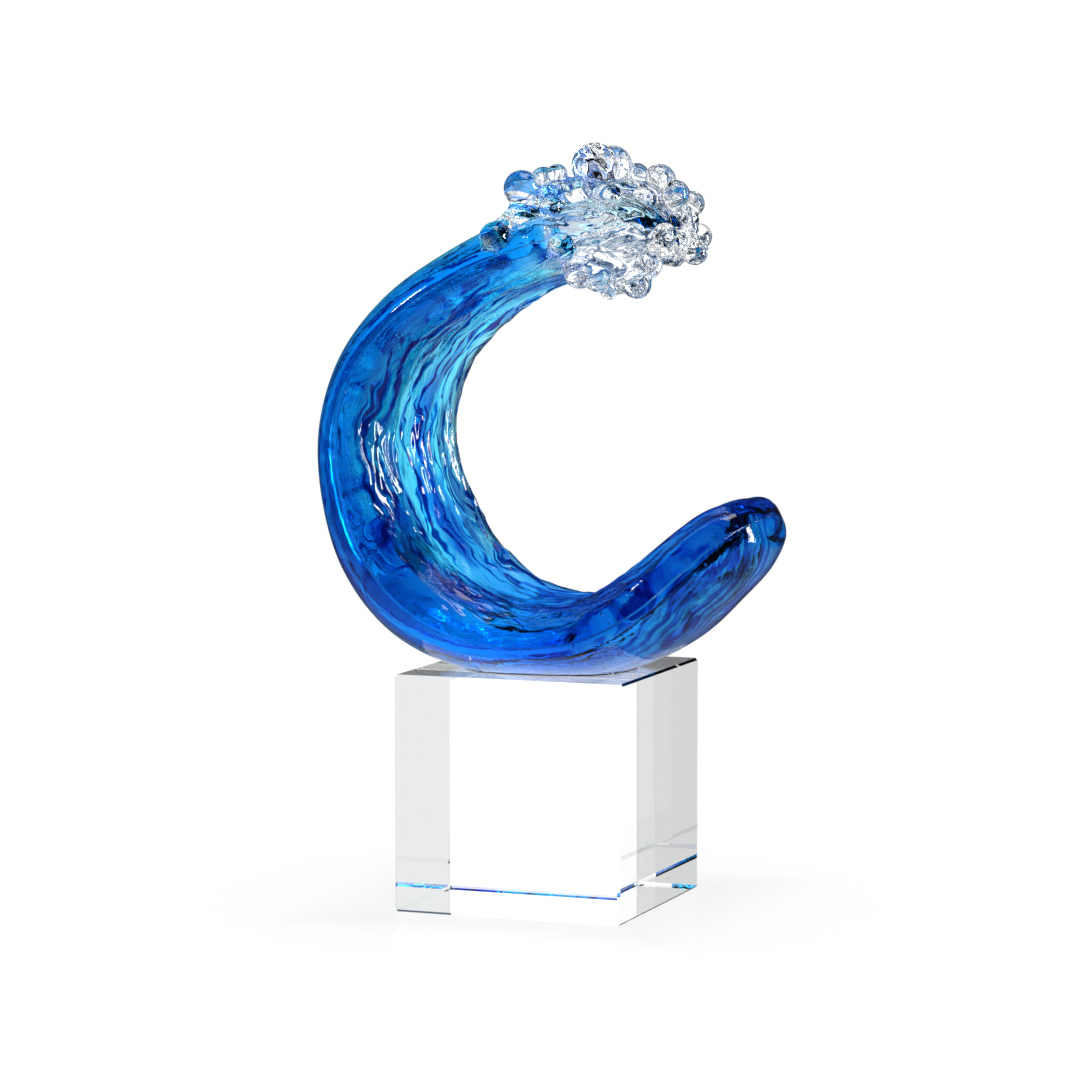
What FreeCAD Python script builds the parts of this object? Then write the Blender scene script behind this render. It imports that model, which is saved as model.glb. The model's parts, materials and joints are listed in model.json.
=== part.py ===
"""Art glass wave on a clear crystal block, as separate solids, in millimetres, +Z up.

The origin is the middle of the block's underside. The wave curls in the XZ plane: its tail points
to +X, its back faces -X and its crest hangs over the block. Y is the wave's width.
"""
import FreeCAD, Part
import math
import os

Vector = FreeCAD.Vector

# Crystal block
BLOCK_WIDTH = 80.0
BLOCK_DEPTH = 80.0
BLOCK_HEIGHT = 80.0
BLOCK_BEVEL = 0.8

# Glue line between the block and the wave's ground foot
GLUE_THICKNESS = 0.3

# Wave tongue, measured on its spine and at its thickest and widest places
WAVE_REACH = 140.0
WAVE_RISE = 140.0
WAVE_THICKNESS = 38.0
WAVE_WIDTH = 88.0
TROUGH_DEPTH = 3.0
FLUTE_DEPTH = 1.2
FOOT_GRIND = 2.6

# Coloured glass inside the clear casing
CASING_WALL = 3.0
CASING_EDGE = 4.5
FOOT_GLASS = 1.6
VEIL_THICKNESS = 6.0
VEIL_COVER = 3.5
VEIL_EDGE = 8.0

# Crest: clear arms laid along the top of the wave, and the drops set on them
ARM_RADIUS = 10.0
BOBBLE_RADIUS = 6.0

# Each row is a place on the spine, from the tail's tip to the crest's tip: along X as a share of
# WAVE_REACH, above the foot's middle as a share of WAVE_RISE, then the thickness and the width there
# as shares of WAVE_THICKNESS and WAVE_WIDTH.
SPINE_SHARES = [
    (0.566, 0.302, 0.08, 0.11),
    (0.543, 0.291, 0.49, 0.43),
    (0.482, 0.247, 0.74, 0.61),
    (0.398, 0.170, 0.80, 0.73),
    (0.300, 0.085, 0.82, 0.80),
    (0.171, 0.018, 0.77, 0.86),
    (0.021, 0.000, 0.71, 0.91),
    (-0.129, 0.021, 0.83, 0.95),
    (-0.261, 0.093, 0.98, 0.98),
    (-0.354, 0.207, 1.00, 1.00),
    (-0.408, 0.346, 0.92, 0.98),
    (-0.421, 0.493, 0.84, 0.98),
    (-0.381, 0.634, 0.81, 0.95),
    (-0.297, 0.750, 0.75, 0.92),
    (-0.187, 0.835, 0.70, 0.89),
    (-0.054, 0.906, 0.69, 0.84),
    (0.093, 0.956, 0.68, 0.80),
    (0.205, 0.982, 0.58, 0.70),
    (0.285, 0.972, 0.34, 0.50),
    (0.318, 0.962, 0.08, 0.14),
]
FOOT_PLACE_SHARE = 6 / 19

# How square the section's outer and inner faces are: 2 is an ellipse
OUTER_POWER = 2.2
INNER_POWER = 2.6
OUTER_POINTS = 9

# Flutes run along the hollow face, from the crest to the tail
FLUTE_COUNT = 5
POINTS_PER_FLUTE = 4

# The coloured layers run between these shares of the spine's rows, and round off at both ends
CORE_PLACE_SHARES = (0.047, 0.821)
VEIL_PLACE_SHARES = (0.189, 0.716)
ROUNDING_SHARE = 0.084
LAYER_SECTIONS = 16
LEAST_FILL_SHARE = 0.12

# Arms of clear glass on the crest. Each row is a place from the crest's root, along X, Y and Z as
# shares of WAVE_REACH, WAVE_WIDTH and WAVE_THICKNESS, with the arm's radius there as a share of
# ARM_RADIUS.
ARM_SHARES = {
    "ridge": [
        (-0.150, -0.375, 0.079, 0.36),
        (-0.086, -0.295, 0.224, 0.58),
        (-0.014, -0.193, 0.316, 0.74),
        (0.050, -0.091, 0.329, 0.80),
        (0.107, 0.023, 0.316, 0.76),
        (0.161, 0.136, 0.263, 0.70),
        (0.196, 0.216, 0.145, 0.64),
        (0.221, 0.261, 0.000, 0.50),
    ],
    "lip": [
        (0.014, -0.375, -0.079, 0.36),
        (0.075, -0.375, -0.197, 0.64),
        (0.136, -0.352, -0.250, 0.74),
        (0.189, -0.318, -0.263, 0.72),
        (0.218, -0.261, -0.211, 0.52),
    ],
    "brow": [
        (0.214, -0.205, -0.158, 0.46),
        (0.214, -0.068, -0.079, 0.60),
        (0.211, 0.091, -0.066, 0.62),
        (0.204, 0.239, -0.079, 0.56),
        (0.179, 0.352, -0.066, 0.46),
    ],
    "back": [
        (-0.136, 0.341, 0.053, 0.36),
        (-0.050, 0.364, 0.158, 0.62),
        (0.043, 0.375, 0.184, 0.74),
        (0.121, 0.375, 0.105, 0.70),
        (0.171, 0.364, -0.026, 0.48),
    ],
}
ARM_ORDER = ("ridge", "lip", "brow", "back")
CREST_PLACE_SHARE = 16 / 19
ARM_POINTS = 12
ARM_SECTIONS = 11
ARM_SEAM_DEGREES = 150
ARM_LEAST_SHARE = 0.2
ARM_ROUNDING_SHARE = 0.28

# Drops: the arm that carries each, its place along that arm, the way that it stands out in degrees
# round the arm (0 is up, 90 is towards +Y or, round the brow arm, -X, and -90 is the other way), how
# far its middle is out from the arm's skin as a share of its own radius, and its radius as a share of
# BOBBLE_RADIUS.
BOBBLE_SHARES = [
    ("ridge", 0.00, -160, 0.45, 0.92),
    ("ridge", 0.17, 15, 0.35, 1.02),
    ("ridge", 0.25, 25, 0.45, 0.72),
    ("ridge", 0.28, -5, 0.60, 0.58),
    ("ridge", 0.42, 0, 0.45, 1.28),
    ("ridge", 0.52, 20, 0.70, 1.10),
    ("ridge", 0.61, 15, 0.55, 0.66),
    ("ridge", 0.70, 15, 0.35, 0.94),
    ("ridge", 0.71, -60, 0.32, 0.82),
    ("ridge", 0.86, 0, 0.30, 0.74),
    ("ridge", 0.22, -100, 0.05, 0.66),
    ("ridge", 0.42, -90, 0.05, 0.86),
    ("ridge", 0.58, -85, 0.10, 0.70),
    ("brow", 0.14, -25, 0.35, 0.70),
    ("brow", 0.44, -105, 0.30, 0.78),
    ("lip", 0.06, -60, 0.25, 0.76),
    ("lip", 0.30, -110, 0.20, 0.86),
    ("lip", 0.44, -115, 0.30, 0.68),
    ("lip", 0.55, -145, 0.40, 0.46),
    ("lip", 0.74, -120, 0.25, 0.80),
    ("lip", 0.82, -75, 0.20, 0.78),
    ("back", 0.10, 10, 0.35, 0.84),
    ("back", 0.34, 40, 0.40, 1.00),
    ("back", 0.50, -30, 0.35, 0.80),
    ("back", 0.64, 60, 0.40, 1.04),
    ("back", 0.86, 100, 0.30, 0.80),
    ("brow", 0.92, -60, 0.30, 0.76),
]


def along(rows, t):
    """The values of a table at station t, on a smooth curve through its rows."""
    last = len(rows) - 1
    t = min(max(t, 0.0), float(last))
    i = min(int(t), last - 1)
    f = t - i
    here, after = rows[i], rows[i + 1]
    before = rows[i - 1] if i else [2 * a - b for a, b in zip(here, after)]
    beyond = rows[i + 2] if i + 2 <= last else [2 * b - a for a, b in zip(here, after)]
    return [
        (2 * b + (c - a) * f + (2 * a - 5 * b + 4 * c - d) * f**2 + (3 * b - a - 3 * c + d) * f**3) / 2
        for a, b, c, d in zip(before, here, after, beyond)
    ]


def foot_height():
    """Height of the ground foot above the floor."""
    return BLOCK_HEIGHT + GLUE_THICKNESS


def station(place_share):
    """The station at a share of the spine's rows."""
    return place_share * (len(SPINE_SHARES) - 1)


def spine_base():
    """Height of the spine over the foot's middle."""
    thick_share = along(SPINE_SHARES, station(FOOT_PLACE_SHARE))[2]
    return foot_height() + thick_share * WAVE_THICKNESS / 2 - FOOT_GRIND


def spine_point(t):
    """A point on the wave's spine."""
    reach, rise = along(SPINE_SHARES, t)[:2]
    return Vector(reach * WAVE_REACH, 0, spine_base() + rise * WAVE_RISE)


def spine_outward(t):
    """The unit vector from the spine towards the wave's back, square to the spine."""
    step = 0.01
    run = (spine_point(t + step) - spine_point(t - step)).normalize()
    return Vector(-run.z, 0, run.x)


def rounded(cosine, sine, power):
    """A point of a unit superellipse."""
    return (
        math.copysign(abs(cosine) ** (2 / power), cosine),
        math.copysign(abs(sine) ** (2 / power), sine),
    )


def closed_wire(points):
    """A smooth closed wire through the points."""
    curve = Part.BSplineCurve()
    curve.interpolate(points, PeriodicFlag=True)
    return Part.Wire([curve.toShape()])


def section_places():
    """The places round a section: the angle, and how far a flute raises or lowers it, from -1 to 1.

    They start in the hollow face, so that the seam runs clear of the crest's arms and drops.
    """
    places = [(math.pi * (k + 0.5) / OUTER_POINTS, 0) for k in range(OUTER_POINTS)]
    count = FLUTE_COUNT * POINTS_PER_FLUTE
    for k in range(count):
        across = (k + 0.5) / count
        flute = math.cos(2 * math.pi * FLUTE_COUNT * across) * math.sin(math.pi * across)
        places.append((math.pi * (1 + across), flute))
    seam = OUTER_POINTS + count * 2 // 3
    return places[seam:] + places[:seam]


def wave_halves(t):
    """Half the tongue's thickness and width at station t."""
    thick_share, wide_share = along(SPINE_SHARES, t)[2:]
    return thick_share * WAVE_THICKNESS / 2, wide_share * WAVE_WIDTH / 2


def wave_section(t, half_thickness, half_width, lift=0, fill=1):
    """A section at station t, lifted from the spine towards the wave's back, and shrunk by fill."""
    hollowing = along(SPINE_SHARES, t)[2] * fill
    middle, outward = spine_point(t), spine_outward(t)
    points = []
    for angle, flute in section_places():
        power = OUTER_POWER if angle < math.pi else INNER_POWER
        across, out = rounded(math.cos(angle), math.sin(angle), power)
        height = lift + out * half_thickness * fill
        if angle > math.pi:
            height += (TROUGH_DEPTH * (1 - across**2) ** 2 + FLUTE_DEPTH * flute) * hollowing
        points.append(middle + outward * height + Vector(0, across * half_width * fill, 0))
    return closed_wire(points)


def tongue():
    """The whole wave as one solid, ground flat at its foot."""
    sections = [wave_section(t, *wave_halves(t)) for t in range(len(SPINE_SHARES))]
    return Part.makeLoft(sections, True, False).cut(below(foot_height()))


def layer(place_shares, make_section):
    """A layer inside the tongue, rounded off at both ends."""
    start, end = (station(share) for share in place_shares)
    sections = []
    for k in range(LAYER_SECTIONS):
        even = k / (LAYER_SECTIONS - 1)
        eased = (1 - math.cos(math.pi * even)) / 2
        t = start + (end - start) * (eased + even) / 2
        inside = min(min(t - start, end - t) / station(ROUNDING_SHARE), 1)
        fill = math.sqrt(max(1 - (1 - inside) ** 2, LEAST_FILL_SHARE**2))
        sections.append(make_section(t, fill))
    return Part.makeLoft(sections, True, False)


def core_section(t, fill):
    """The coloured core's section inside the casing."""
    half_thickness, half_width = wave_halves(t)
    return wave_section(t, half_thickness - CASING_WALL, half_width - CASING_EDGE, 0, fill)


def veil_section(t, fill):
    """The veil's section, inside the core and close under the hollow face."""
    half_thickness, half_width = wave_halves(t)
    lift = CASING_WALL + VEIL_COVER + VEIL_THICKNESS / 2 - half_thickness
    return wave_section(t, VEIL_THICKNESS / 2, half_width - CASING_EDGE - VEIL_EDGE, lift, fill)


def below(height):
    """A block of everything that lies under height near the wave."""
    side = 2 * (WAVE_REACH + WAVE_WIDTH)
    return Part.makeBox(side, side, side, Vector(-side / 2, -side / 2, height - side))


def above(height):
    """A block of everything that lies over height near the wave."""
    side = 2 * (WAVE_REACH + WAVE_WIDTH)
    return Part.makeBox(side, side, side, Vector(-side / 2, -side / 2, height))


def crest_root():
    """The place on the spine that the crest's arms are measured from."""
    return spine_point(station(CREST_PLACE_SHARE))


def arm_place(name, share):
    """Middle, run, side, up and radius of an arm at a share of its length."""
    rows = ARM_SHARES[name]
    t = share * (len(rows) - 1)
    step = 0.01
    low, high = along(rows, t - step), along(rows, t + step)
    x, y, z, radius_share = along(rows, t)
    dx, dy, dz = (b - a for a, b in zip(low[:3], high[:3]))
    run = Vector(dx * WAVE_REACH, dy * WAVE_WIDTH, dz * WAVE_THICKNESS).normalize()
    side = Vector(0, 0, 1).cross(run).normalize()
    middle = crest_root() + Vector(x * WAVE_REACH, y * WAVE_WIDTH, z * WAVE_THICKNESS)
    return middle, run, side, run.cross(side), radius_share * ARM_RADIUS


def arm(name):
    """One arm of clear glass with rounded ends."""
    sections = []
    for k in range(ARM_SECTIONS):
        share = (1 - math.cos(math.pi * k / (ARM_SECTIONS - 1))) / 2
        middle, _run, side, up, radius = arm_place(name, share)
        to_end = min(share, 1 - share) / ARM_ROUNDING_SHARE
        radius *= math.sqrt(max(1 - max(1 - to_end, 0) ** 2, ARM_LEAST_SHARE**2))
        seam = math.radians(ARM_SEAM_DEGREES)
        turns = [seam + 2 * math.pi * j / ARM_POINTS for j in range(ARM_POINTS)]
        sections.append(closed_wire([middle + (up * math.cos(a) + side * math.sin(a)) * radius for a in turns]))
    return Part.makeLoft(sections, True, False)


def bobble(name, share, degrees, lift_share, radius_share):
    """One drop of glass standing out of an arm."""
    radius = radius_share * BOBBLE_RADIUS
    middle, _run, side, up, arm_radius = arm_place(name, share)
    to_end = min(share, 1 - share) / ARM_ROUNDING_SHARE
    arm_radius *= math.sqrt(max(1 - max(1 - to_end, 0) ** 2, ARM_LEAST_SHARE**2))
    angle = math.radians(degrees)
    way = up * math.cos(angle) + side * math.sin(angle)
    return Part.makeSphere(radius, middle + way * (arm_radius + lift_share * radius), way)


def crystal_block():
    """The bevelled crystal block."""
    corner = Vector(-BLOCK_WIDTH / 2, -BLOCK_DEPTH / 2, 0)
    block = Part.makeBox(BLOCK_WIDTH, BLOCK_DEPTH, BLOCK_HEIGHT, corner)
    return block.makeChamfer(BLOCK_BEVEL, block.Edges)


def glue_film(wave):
    """The film of glue under the wave's ground foot."""
    height = foot_height()
    feet = [f for f in wave.Faces if abs(f.BoundBox.ZMax - height) < GLUE_THICKNESS / 100]
    foot = max(feet, key=lambda face: face.Area)
    return foot.extrude(Vector(0, 0, -GLUE_THICKNESS))


def without(shape, others):
    """The largest solid that is left of the shape when every other shape that it meets is taken away."""
    for other in others:
        if shape.BoundBox.intersect(other.BoundBox):
            shape = max(shape.cut(other).Solids, key=lambda solid: solid.Volume)
    return shape


def build():
    """Every piece by its node's name."""
    whole = tongue()
    core = layer(CORE_PLACE_SHARES, core_section).cut(below(foot_height() + FOOT_GLASS))
    veil = layer(VEIL_PLACE_SHARES, veil_section)
    pieces = {
        "crystal_block": crystal_block(),
        "glue_film": glue_film(whole),
        "wave_casing": whole.cut(core),
        "cobalt_core": core.cut(veil),
        "turquoise_veil": veil,
    }
    crest = {}
    for name in ARM_ORDER:
        crest[f"crest_arm_{name}"] = without(arm(name), crest.values())
    for number, row in enumerate(BOBBLE_SHARES, start=1):
        crest[f"foam_drop_{number:02d}_{row[0]}"] = without(bobble(*row), crest.values())
    root = whole.common(above(crest_root().z - WAVE_THICKNESS))
    for name, shape in crest.items():
        pieces[name] = without(shape, [root])
    return pieces


def main():
    os.makedirs("parts", exist_ok=True)
    for name, shape in build().items():
        box = shape.BoundBox
        print(f"{name}: {len(shape.Solids)} solid, {shape.Volume / 1000:.2f} cm3, valid {shape.isValid()}, "
              f"z {box.ZMin:.1f} to {box.ZMax:.1f}")
        shape.exportStep(f"parts/{name}.step")


if __name__ == "__main__":
    main()
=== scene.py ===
"""Glass wave sculpture: the finished looks of a wave of art glass on a crystal block.

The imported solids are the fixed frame. The wave's skin, its crest of clear glass and its seed bubbles
are made here in finer detail. The block and the coloured layers keep their solids, and the glue has
a copy of its own, just clear of the block.
"""

import json
import math
import random

import bmesh
import bpy
import numpy as np
from mathutils import Matrix, Vector, noise
from mathutils.bvhtree import BVHTree

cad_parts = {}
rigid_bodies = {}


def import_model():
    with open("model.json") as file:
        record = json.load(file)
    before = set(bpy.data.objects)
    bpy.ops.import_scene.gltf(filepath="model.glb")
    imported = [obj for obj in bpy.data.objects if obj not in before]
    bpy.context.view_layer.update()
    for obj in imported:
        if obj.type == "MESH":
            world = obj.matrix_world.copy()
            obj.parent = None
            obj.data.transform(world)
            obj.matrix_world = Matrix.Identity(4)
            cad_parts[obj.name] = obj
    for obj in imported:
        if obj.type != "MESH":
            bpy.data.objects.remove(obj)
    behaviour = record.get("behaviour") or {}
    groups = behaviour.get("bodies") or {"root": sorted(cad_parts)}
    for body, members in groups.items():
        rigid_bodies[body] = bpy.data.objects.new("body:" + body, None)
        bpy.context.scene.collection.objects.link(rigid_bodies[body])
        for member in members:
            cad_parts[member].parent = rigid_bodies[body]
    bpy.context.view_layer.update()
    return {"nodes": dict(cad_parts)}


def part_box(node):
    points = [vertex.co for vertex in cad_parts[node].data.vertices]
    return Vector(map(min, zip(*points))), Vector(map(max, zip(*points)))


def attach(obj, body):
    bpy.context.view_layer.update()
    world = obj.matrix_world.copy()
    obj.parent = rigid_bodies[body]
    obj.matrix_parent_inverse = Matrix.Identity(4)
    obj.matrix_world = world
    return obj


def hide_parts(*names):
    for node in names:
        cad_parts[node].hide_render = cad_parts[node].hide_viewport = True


bl_info = {
    "name": "Glass Wave Sculpture",
    "version": (1, 0, 0),
    "blender": (4, 5, 0),
    "location": "View3D > Sidebar > Glass Wave",
    "description": "Builds a wave of cased art glass on a crystal block",
    "category": "Add Mesh",
}

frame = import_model()

MM = 0.001

# Sizes of the wave, and the heights at which it stands on its glue
REACH = 140 * MM
RISE = 140 * MM
THICKNESS = 38 * MM
WIDTH = 88 * MM
TROUGH = 3 * MM
FLUTE_DEPTH = 1.2 * MM
FLUTES = 5
FOOT_HEIGHT = 80.3 * MM
FOOT_GRIND = 2.6 * MM
FOOT_CLEARANCE = 0.02 * MM
GLUE_CLEARANCE = 0.01 * MM

# The wave's spine from the tail's tip to the crest's tip: along X as a share of REACH, above the
# foot's middle as a share of RISE, then thickness and width as shares of THICKNESS and WIDTH.
# A station is a place along these rows, 0 at the first.
SPINE = [
    (0.566, 0.302, 0.08, 0.11),
    (0.543, 0.291, 0.49, 0.43),
    (0.482, 0.247, 0.74, 0.61),
    (0.398, 0.170, 0.80, 0.73),
    (0.300, 0.085, 0.82, 0.80),
    (0.171, 0.018, 0.77, 0.86),
    (0.021, 0.000, 0.71, 0.91),
    (-0.129, 0.021, 0.83, 0.95),
    (-0.261, 0.093, 0.98, 0.98),
    (-0.354, 0.207, 1.00, 1.00),
    (-0.408, 0.346, 0.92, 0.98),
    (-0.421, 0.493, 0.84, 0.98),
    (-0.381, 0.634, 0.81, 0.95),
    (-0.297, 0.750, 0.75, 0.92),
    (-0.187, 0.835, 0.70, 0.89),
    (-0.054, 0.906, 0.69, 0.84),
    (0.093, 0.956, 0.68, 0.80),
    (0.205, 0.982, 0.58, 0.70),
    (0.285, 0.972, 0.34, 0.50),
    (0.318, 0.962, 0.08, 0.14),
]
FOOT_ROW = 6
CREST_ROW = 16

# The cross-section's two halves are parts of superellipses, the outer one rounder.
OUTER_POWER = 2.2
INNER_POWER = 2.6

# The skin's grid, and the bead down the hollow's near edge as shares of the half width
SKIN_RINGS = 330
OUTER_POINTS = 84
HOLLOW_POINTS = 300
BEAD_PLACE = -0.84
BEAD_WIDTH = 0.035
BEAD_HEIGHT = 0.5 * MM

# Arms of clear glass: X, Y and Z from the crest's root as shares of REACH, WIDTH and THICKNESS, and
# the radius as a share of ARM_RADIUS.
ARM_RADIUS = 10 * MM
ARM_STEPS = 40
ARM_POINTS = 28
ARMS = {
    "ridge": [
        (-0.150, -0.375, 0.079, 0.36),
        (-0.086, -0.295, 0.224, 0.58),
        (-0.014, -0.193, 0.316, 0.74),
        (0.050, -0.091, 0.329, 0.80),
        (0.107, 0.023, 0.316, 0.76),
        (0.161, 0.136, 0.263, 0.70),
        (0.196, 0.216, 0.145, 0.64),
        (0.221, 0.261, 0.000, 0.50),
    ],
    "lip": [
        (0.014, -0.375, -0.079, 0.36),
        (0.075, -0.375, -0.197, 0.64),
        (0.136, -0.352, -0.250, 0.74),
        (0.189, -0.318, -0.263, 0.72),
        (0.218, -0.261, -0.211, 0.52),
    ],
    "brow": [
        (0.214, -0.205, -0.158, 0.46),
        (0.214, -0.068, -0.079, 0.60),
        (0.211, 0.091, -0.066, 0.62),
        (0.204, 0.239, -0.079, 0.56),
        (0.179, 0.352, -0.066, 0.46),
    ],
    "back": [
        (-0.136, 0.341, 0.053, 0.36),
        (-0.050, 0.364, 0.158, 0.62),
        (0.043, 0.375, 0.184, 0.74),
        (0.121, 0.375, 0.105, 0.70),
        (0.171, 0.364, -0.026, 0.48),
    ],
}

# Drops: the arm, the share of its length, degrees round it, how far out in radii, and the radius as a
# share of DROP_RADIUS.
DROP_RADIUS = 6 * MM
DROPS = [
    ("ridge", 0.00, -160, 0.45, 0.92),
    ("ridge", 0.17, 15, 0.35, 1.02),
    ("ridge", 0.25, 25, 0.45, 0.72),
    ("ridge", 0.28, -5, 0.60, 0.58),
    ("ridge", 0.42, 0, 0.45, 1.28),
    ("ridge", 0.52, 20, 0.70, 1.10),
    ("ridge", 0.61, 15, 0.55, 0.66),
    ("ridge", 0.70, 15, 0.35, 0.94),
    ("ridge", 0.71, -60, 0.32, 0.82),
    ("ridge", 0.86, 0, 0.30, 0.74),
    ("ridge", 0.22, -100, 0.05, 0.66),
    ("ridge", 0.42, -90, 0.05, 0.86),
    ("ridge", 0.58, -85, 0.10, 0.70),
    ("brow", 0.14, -25, 0.35, 0.70),
    ("brow", 0.44, -105, 0.30, 0.78),
    ("lip", 0.06, -60, 0.25, 0.76),
    ("lip", 0.30, -110, 0.20, 0.86),
    ("lip", 0.44, -115, 0.30, 0.68),
    ("lip", 0.55, -145, 0.40, 0.46),
    ("lip", 0.74, -120, 0.25, 0.80),
    ("lip", 0.82, -75, 0.20, 0.78),
    ("back", 0.10, 10, 0.35, 0.84),
    ("back", 0.34, 40, 0.40, 1.00),
    ("back", 0.50, -30, 0.35, 0.80),
    ("back", 0.64, 60, 0.40, 1.04),
    ("back", 0.86, 100, 0.30, 0.80),
    ("brow", 0.92, -60, 0.30, 0.76),
]

# The drops that carry a rolled thread of glass, by their row above
CURLED_DROPS = (0, 10, 11, 15, 20)
CURL_BALLS = 90
CURL_TURNS = 1.6

# Fine relief of the glass, over the ripples and folds of the mesh
BUMP_DISTANCE = 3.6 * MM
BUMP_STRENGTH = 0.4

# Seed bubbles: how far they stay from the wave's outside, and their smallest and largest radius in mm
BUBBLE_DEPTH = 2 * MM
BUBBLE_SIZES = (0.16, 0.42)

# The floor's radius, and how far it lies under the block
FLOOR_RADIUS = 2.5
FLOOR_GAP = 0.2 * MM

# The camera, at the photograph's angle
CAMERA_LENS = 146.08
CAMERA_PLACE = (0.520165, -1.378103, 0.263912)
CAMERA_TILT = math.radians(90 - 5.471)
CAMERA_TURN = math.radians(20.792)

# Four dim cards stand round the room, the first of them at this bearing.
CARDS = 4
CARD_BEARING = math.radians(65.8)

# Softboxes: name, place, width and height, and the share of the lamp power
LAMPS = (
    ("key", (-0.75, -0.70, 0.74), (0.12, 0.14), 0.12),
    ("side", (1.05, 0.25, 0.30), (0.30, 0.80), 1.2),
    ("top", (0.25, -0.10, 1.1), (0.50, 0.50), 0.3),
)
LAMP_AIM = Vector((0, 0, 0.14))


# Geometry of the wave and the glue under it


def along(rows, t):
    """Rows of a table at stations t, on a smooth curve through them."""
    rows = np.asarray(rows, float)
    last = len(rows) - 1
    t = np.clip(np.asarray(t, float), 0, last - 1e-9)
    i = np.floor(t).astype(int)
    f = (t - i)[..., None]

    def at(k):
        return rows[np.clip(k, 0, last)]

    b, c = at(i), at(i + 1)
    a = np.where((i > 0)[..., None], at(i - 1), 2 * b - c)
    d = np.where((i + 2 <= last)[..., None], at(i + 2), 2 * c - b)
    square = (2 * a - 5 * b + 4 * c - d) * f**2
    cube = (3 * b - a - 3 * c + d) * f**3
    return (2 * b + (c - a) * f + square + cube) / 2


def spine_base():
    """Height of the spine over the foot."""
    return FOOT_HEIGHT + SPINE[FOOT_ROW][2] * THICKNESS / 2 - FOOT_GRIND


def spine_frame(t):
    """Middles, outward directions, half thicknesses and half widths at stations t."""
    rows = along(SPINE, t)
    middle = np.stack([rows[..., 0] * REACH, 0 * rows[..., 0], spine_base() + rows[..., 1] * RISE], -1)
    step = along(SPINE, np.asarray(t) + 0.02) - along(SPINE, np.asarray(t) - 0.02)
    run = np.stack([step[..., 0] * REACH, 0 * step[..., 0], step[..., 1] * RISE], -1)
    run /= np.linalg.norm(run, axis=-1, keepdims=True)
    outward = np.stack([-run[..., 2], 0 * run[..., 0], run[..., 0]], -1)
    return middle, outward, rows[..., 2] * THICKNESS / 2, rows[..., 3] * WIDTH / 2


def even_stations(count):
    """Stations evenly spaced along the spine, and the distance of each from the tail's tip."""
    fine = np.linspace(0, len(SPINE) - 1, 2000)
    middle = spine_frame(fine)[0]
    run = np.concatenate([[0], np.cumsum(np.linalg.norm(np.diff(middle, axis=0), axis=1))])
    wanted = np.linspace(0, run[-1], count)
    return np.interp(wanted, run, fine), wanted


def smooth_step(low, high, x):
    """0 below low, 1 above high, and smooth between."""
    x = np.clip((x - low) / (high - low), 0, 1)
    return x * x * (3 - 2 * x)


def ripple_height(s, w):
    """Height of the hollow face's ripples at distance s along the spine and w across it, about zero."""
    h = np.zeros_like(s)
    for k in range(s.size):
        a, b = s.flat[k] / MM, w.flat[k] / MM
        drift = 4 * noise.noise((a / 46, b / 30, 3.1)) + 2.0 * noise.noise((a / 18, b / 12, 7.7))
        ridge = 1 - 2.4 * abs(noise.noise((a / 26, (b + drift) / 6.2, 1.3)))
        fine = 1 - 2.4 * abs(noise.noise((a / 13, (b + drift) / 2.8, 5.9)))
        h.flat[k] = 0.70 * (ridge - 0.55) + 0.38 * (fine - 0.55)
    return h


def fold_height(points):
    """Height of the folds that a hot gather of clear glass settles into, at places in space."""
    h = np.zeros(len(points))
    for k, (x, y, z) in enumerate(points / MM):
        warp = 5 * noise.noise((x / 14 + 5, y / 14, z / 14))
        turn = 5 * noise.noise((x / 14, y / 14 + 9, z / 14))
        fold = abs(noise.noise(((x + warp) / 13.0, (y + turn) / 6.5, (z + warp) / 7.5)))
        h[k] = 0.5 - min(fold * 2.6, 1.1)
    return h


def off_drops(points):
    """0 on the drops, 1 away from them."""
    free = np.ones(len(points))
    for row in DROPS:
        middle, _way, radius = drop_place(*row)
        away = np.linalg.norm(points - np.array(middle), axis=1) / radius
        free = np.minimum(free, smooth_step(1.05, 1.5, away))
    return free


def section_grid():
    """Places across the wave round one ring, from -1 to 1, and 1 for those on the hollow face."""
    outer = np.linspace(1, -1, OUTER_POINTS, endpoint=False)
    inner = np.linspace(-1, 1, HOLLOW_POINTS, endpoint=False)
    across = np.sin(np.concatenate([outer, inner]) * math.pi / 2)
    return across, np.concatenate([np.zeros(OUTER_POINTS), np.ones(HOLLOW_POINTS)])


def flute_height(across):
    """Height of the hollow's broad flutes, where the solid casing has them."""
    lean = np.sign(across) * np.abs(across) ** (INNER_POWER / 2)
    turn = 1 - np.arccos(np.clip(lean, -1, 1)) / math.pi
    return np.cos(2 * math.pi * FLUTES * turn) * np.sin(math.pi * turn)


def fold_end(points, folded, height):
    """Move the skin of the wave's end out and in by the folds of the clear glass."""
    spots = np.argwhere(folded > 0.01)
    row, column = spots[:, 0], spots[:, 1]
    spread = points - points.mean(1, keepdims=True)
    spread /= np.linalg.norm(spread, axis=-1, keepdims=True) + 1e-9
    amount = fold_height(points[row, column]) * folded[row, column] * height
    points[row, column] += spread[row, column] * amount[:, None]


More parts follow.
